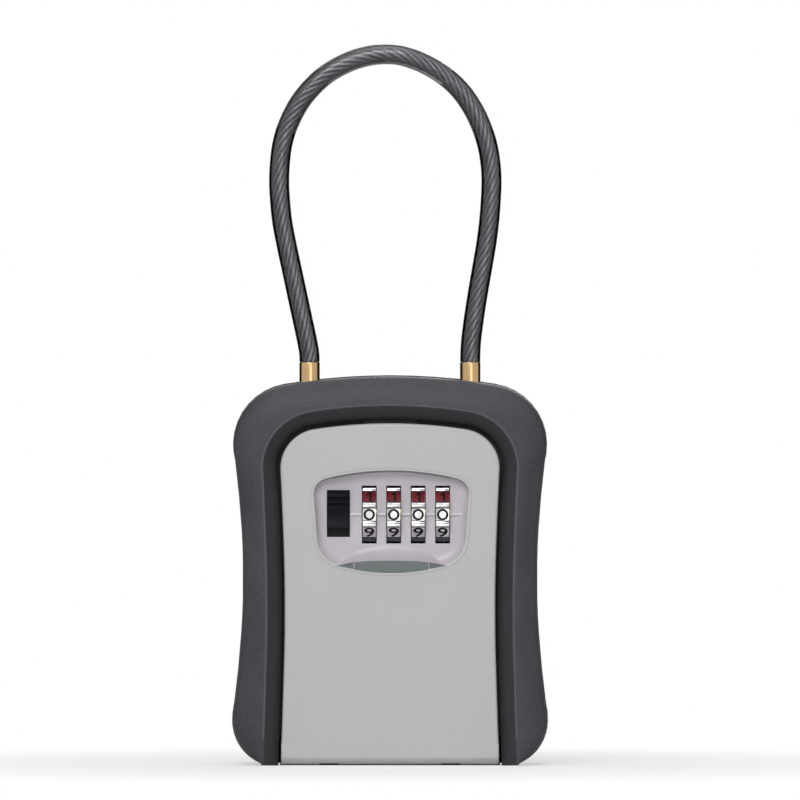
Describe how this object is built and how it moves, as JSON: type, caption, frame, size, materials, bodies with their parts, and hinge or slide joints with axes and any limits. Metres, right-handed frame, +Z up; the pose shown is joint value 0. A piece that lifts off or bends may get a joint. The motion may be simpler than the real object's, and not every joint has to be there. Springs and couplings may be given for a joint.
{
  "type": "combination key safe",
  "caption": "Waisted key safe box with a bottom-hinged front door that carries number dials and an opening button, and a flexible cable shackle with brass ferrules.",
  "frame": {"origin": "middle of the footprint, on the plane that the box stands on", "axes": "+Z up, front of the door towards -Y, button on the -X side"},
  "size_m": [0.0938, 0.04, 0.2127],
  "materials": {
    "cast_case": "satin black paint on die-cast zinc",
    "surround_plastic": "fine-textured moulded plastic, dark grey",
    "pad_rubber": "soft matte sheet",
    "seal_rubber": "soft extruded seal",
    "door_paint": "smooth pale grey satin paint",
    "bezel_plastic": "pale grey, glossier than the door",
    "pressed_steel": "zinc-plated steel",
    "dark_steel": "blackened spring steel",
    "dial_chrome": "satin chrome with dark engraved digits",
    "washer_brass": "turned brass",
    "ferrule_brass": "polished brass",
    "knob_plastic": "black moulded plastic",
    "cable_plastic": "smoky clear jacket over the rope",
    "rope_steel": "stranded galvanised wire rope"
  },
  "bodies": {
    "case": {"case_shell": "cast_case", "back_plate": "cast_case", "surround": "surround_plastic", "surround_screws": "pressed_steel", "back_pad": "pad_rubber", "hinge_pin": "pressed_steel", "keeper": "pressed_steel", "keeper_screws": "pressed_steel", "release_retainer": "pressed_steel", "retainer_screws": "pressed_steel", "release_spring": "pressed_steel"},
    "door": {"door_panel": "door_paint", "dial_bezel": "bezel_plastic", "door_seal": "seal_rubber", "mechanism_cover": "pressed_steel", "cover_screws": "pressed_steel", "spindle": "pressed_steel", "spindle_clips": "dark_steel", "sleeve_washers": "washer_brass", "detent_spring": "pressed_steel", "button_spring": "pressed_steel", "bolt_spring": "pressed_steel"},
    "opening_slide": {"button_knob": "knob_plastic", "fence_slide": "pressed_steel"},
    "bolt": {"bolt": "pressed_steel"},
    "code_change": {"change_comb": "pressed_steel", "change_tab": "knob_plastic"},
    "shackle": {"cable_jacket": "cable_plastic", "wire_rope": "rope_steel", "ferrule_left": "ferrule_brass", "ferrule_right": "ferrule_brass"},
    "release": {"release_plate": "pressed_steel", "release_tab": "knob_plastic"},
    "dial_1": {"dial_1": "dial_chrome", "code_sleeve_1": "washer_brass"},
    "dial_2": {"dial_2": "dial_chrome", "code_sleeve_2": "washer_brass"},
    "dial_3": {"dial_3": "dial_chrome", "code_sleeve_3": "washer_brass"},
    "dial_4": {"dial_4": "dial_chrome", "code_sleeve_4": "washer_brass"}
  },
  "joints": [
    {"name": "door_hinge", "type": "hinge", "parent": "case", "child": "door", "pos_m": [0, -0.0146, 0.0042], "axis": [1, 0, 0], "range_deg": [0, 90]},
    {"name": "button_slide", "type": "slide", "parent": "door", "child": "opening_slide", "axis": [0, 0, 1], "range_m": [-0.002, 0], "stiffness_N_per_m": 300, "springref_m": 0.003, "deforming": ["button_spring"]},
    {"name": "bolt_slide", "type": "slide", "parent": "door", "child": "bolt", "axis": [0, 0, 1], "range_m": [0, 0.002], "stiffness_N_per_m": 150, "deforming": ["bolt_spring"]},
    {"name": "code_change_slide", "type": "slide", "parent": "door", "child": "code_change", "axis": [-1, 0, 0], "range_m": [0, 0.0015]},
    {"name": "shackle_lift", "type": "slide", "parent": "case", "child": "shackle", "axis": [0, 0, 1], "range_m": [0, 0.024]},
    {"name": "release_slide", "type": "slide", "parent": "case", "child": "release", "axis": [0, 1, 0], "range_m": [0, 0.0038], "stiffness_N_per_m": 100, "deforming": ["release_spring"]},
    {"name": "dial_1_turn", "type": "hinge", "parent": "door", "child": "dial_1", "pos_m": [-0.0061, -0.0087, 0.0739], "axis": [1, 0, 0], "continuous": true},
    {"name": "dial_2_turn", "type": "hinge", "parent": "door", "child": "dial_2", "pos_m": [0.0011, -0.0087, 0.0739], "axis": [1, 0, 0], "continuous": true},
    {"name": "dial_3_turn", "type": "hinge", "parent": "door", "child": "dial_3", "pos_m": [0.0083, -0.0087, 0.0739], "axis": [1, 0, 0], "continuous": true},
    {"name": "dial_4_turn", "type": "hinge", "parent": "door", "child": "dial_4", "pos_m": [0.0155, -0.0087, 0.0739], "axis": [1, 0, 0], "continuous": true}
  ]
}
